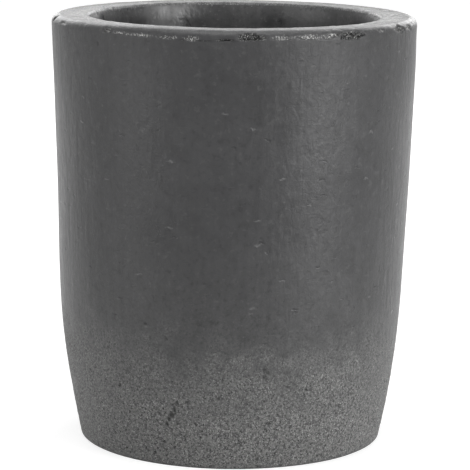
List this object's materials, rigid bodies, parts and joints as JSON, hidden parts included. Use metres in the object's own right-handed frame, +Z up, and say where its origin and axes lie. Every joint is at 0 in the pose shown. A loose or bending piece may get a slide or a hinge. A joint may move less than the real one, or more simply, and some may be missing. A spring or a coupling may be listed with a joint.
{
  "type": "foundry crucible",
  "caption": "Thick-walled clay-graphite crucible for melting metal: tall cup with a slightly drafted flank, curved heel, flat foot, deep round bowl and a flat, rounded, chipped rim.",
  "frame": {"origin": "middle of the foot's underside, on the surface it stands on", "axes": "+Z up along the axis of turning, front (the side with the deepest chips) towards -Y"},
  "size_m": [0.1198, 0.1198, 0.1404],
  "materials": {
    "clay_graphite": "satin"
  },
  "bodies": {
    "root": {"crucible": "clay_graphite"}
  },
  "joints": []
}
